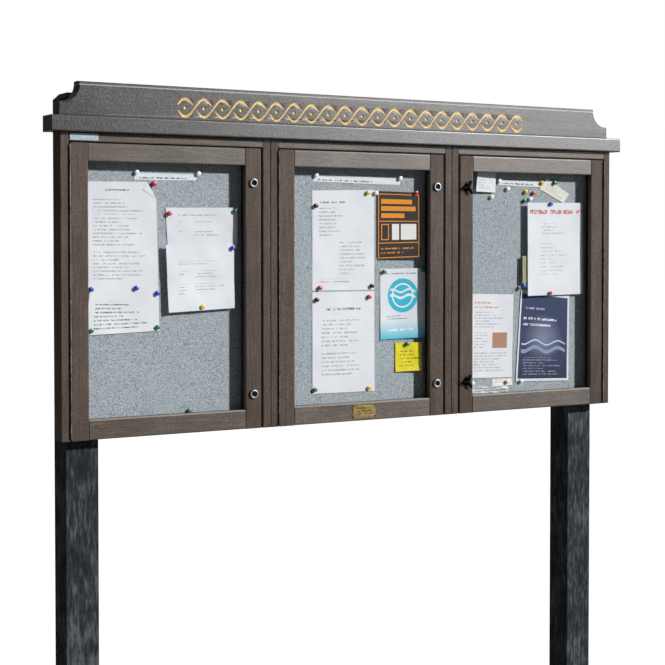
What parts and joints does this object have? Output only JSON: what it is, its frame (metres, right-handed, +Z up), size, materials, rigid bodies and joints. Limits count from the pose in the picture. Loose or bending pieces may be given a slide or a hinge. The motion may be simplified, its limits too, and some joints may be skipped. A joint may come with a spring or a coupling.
{
  "type": "lockable notice board",
  "caption": "Outdoor notice board on two planted posts: glazed, lockable display cases side by side with piano-hinged doors, under a ledge and a header board with scalloped corners.",
  "frame": {"origin": "on the ground line, midway between the two posts and at the middle of their depth", "axes": "+Z up; -Y out of the glazed front; +X to the right of a person who stands in front and looks at it"},
  "size_m": [1.896, 0.1623, 2.6406],
  "materials": {
    "brown_board": "planed recycled plastic, speckled brown",
    "grey_board": "planed recycled plastic, weathered grey-brown",
    "black_post": "recycled plastic with a wood grain",
    "back_panel": "flat sheet",
    "felt": "blue-grey felt with dark flecks",
    "pane": "clear shatterproof sheet",
    "black_plastic": "moulded, satin",
    "hinge_steel": "plain",
    "chrome": "polished",
    "label_aluminium": "satin, bare",
    "brass": "brushed, slightly dull",
    "gilding": "gold paint in a routed ornament",
    "paper": "plain office paper",
    "pin_plastic": "moulded push pins in several colours",
    "zinc_steel": "zinc plated"
  },
  "bodies": {
    "case": {"left_post": "black_post", "right_post": "black_post", "ledge_board": "grey_board", "header_board": "grey_board", "label_plate": "label_aluminium", "left_case_left_side": "brown_board", "left_case_right_side": "brown_board", "left_case_top_board": "brown_board", "left_case_bottom_board": "brown_board", "left_case_back_panel": "back_panel", "left_case_pin_board": "felt", "middle_case_left_side": "brown_board", "middle_case_right_side": "brown_board", "middle_case_top_board": "brown_board", "middle_case_bottom_board": "brown_board", "middle_case_back_panel": "back_panel", "middle_case_pin_board": "felt", "right_case_left_side": "brown_board", "right_case_right_side": "brown_board", "right_case_top_board": "brown_board", "right_case_bottom_board": "brown_board", "right_case_back_panel": "back_panel", "right_case_pin_board": "felt", "left_door_hinge_fixed_leaf": "hinge_steel", "middle_door_hinge_fixed_leaf": "hinge_steel", "right_door_hinge_fixed_leaf": "hinge_steel"},
    "left_door": {"left_door_hinge_stile": "brown_board", "left_door_latch_stile": "brown_board", "left_door_bottom_rail": "brown_board", "left_door_top_rail": "brown_board", "left_door_pane": "pane", "left_door_glazing_bead": "black_plastic", "left_door_hinge_moving_leaf": "hinge_steel", "left_door_lower_lock_barrel": "chrome", "left_door_upper_lock_barrel": "chrome"},
    "middle_door": {"middle_door_hinge_stile": "brown_board", "middle_door_latch_stile": "brown_board", "middle_door_bottom_rail": "brown_board", "middle_door_top_rail": "brown_board", "middle_door_pane": "pane", "middle_door_glazing_bead": "black_plastic", "middle_door_hinge_moving_leaf": "hinge_steel", "middle_door_lower_lock_barrel": "chrome", "middle_door_upper_lock_barrel": "chrome", "brass_plaque": "brass"},
    "right_door": {"right_door_hinge_stile": "brown_board", "right_door_latch_stile": "brown_board", "right_door_bottom_rail": "brown_board", "right_door_top_rail": "brown_board", "right_door_pane": "pane", "right_door_glazing_bead": "black_plastic", "right_door_hinge_moving_leaf": "hinge_steel", "right_door_lower_knob_bush": "black_plastic", "right_door_upper_knob_bush": "black_plastic"},
    "left_lower_latch": {"left_door_lower_lock_plug": "chrome"},
    "left_upper_latch": {"left_door_upper_lock_plug": "chrome"},
    "middle_lower_latch": {"middle_door_lower_lock_plug": "chrome"},
    "middle_upper_latch": {"middle_door_upper_lock_plug": "chrome"},
    "right_lower_latch": {"right_door_lower_knob": "black_plastic"},
    "right_upper_latch": {"right_door_upper_knob": "black_plastic"}
  },
  "joints": [
    {"name": "left_door_swing", "type": "hinge", "parent": "case", "child": "left_door", "pos_m": [-0.89525, -0.1018, 1.4895], "axis": [0, 0, -1], "range_deg": [0, 180]},
    {"name": "middle_door_swing", "type": "hinge", "parent": "case", "child": "middle_door", "pos_m": [-0.28125, -0.1018, 1.4895], "axis": [0, 0, -1], "range_deg": [0, 170]},
    {"name": "right_door_swing", "type": "hinge", "parent": "case", "child": "right_door", "pos_m": [0.89525, -0.1018, 1.4895], "axis": [0, 0, 1], "range_deg": [0, 180]},
    {"name": "left_lower_latch_turn", "type": "hinge", "parent": "left_door", "child": "left_lower_latch", "pos_m": [-0.36115, -0.0993, 1.196], "axis": [0, -1, 0], "range_deg": [0, 90]},
    {"name": "left_upper_latch_turn", "type": "hinge", "parent": "left_door", "child": "left_upper_latch", "pos_m": [-0.36115, -0.0993, 1.783], "axis": [0, -1, 0], "range_deg": [0, 90]},
    {"name": "middle_lower_latch_turn", "type": "hinge", "parent": "middle_door", "child": "middle_lower_latch", "pos_m": [0.25285, -0.0993, 1.196], "axis": [0, -1, 0], "range_deg": [0, 90]},
    {"name": "middle_upper_latch_turn", "type": "hinge", "parent": "middle_door", "child": "middle_upper_latch", "pos_m": [0.25285, -0.0993, 1.783], "axis": [0, -1, 0], "range_deg": [0, 90]},
    {"name": "right_lower_latch_turn", "type": "hinge", "parent": "right_door", "child": "right_lower_latch", "pos_m": [0.36115, -0.0993, 1.196], "axis": [0, 1, 0], "range_deg": [0, 90]},
    {"name": "right_upper_latch_turn", "type": "hinge", "parent": "right_door", "child": "right_upper_latch", "pos_m": [0.36115, -0.0993, 1.783], "axis": [0, 1, 0], "range_deg": [0, 90]}
  ]
}
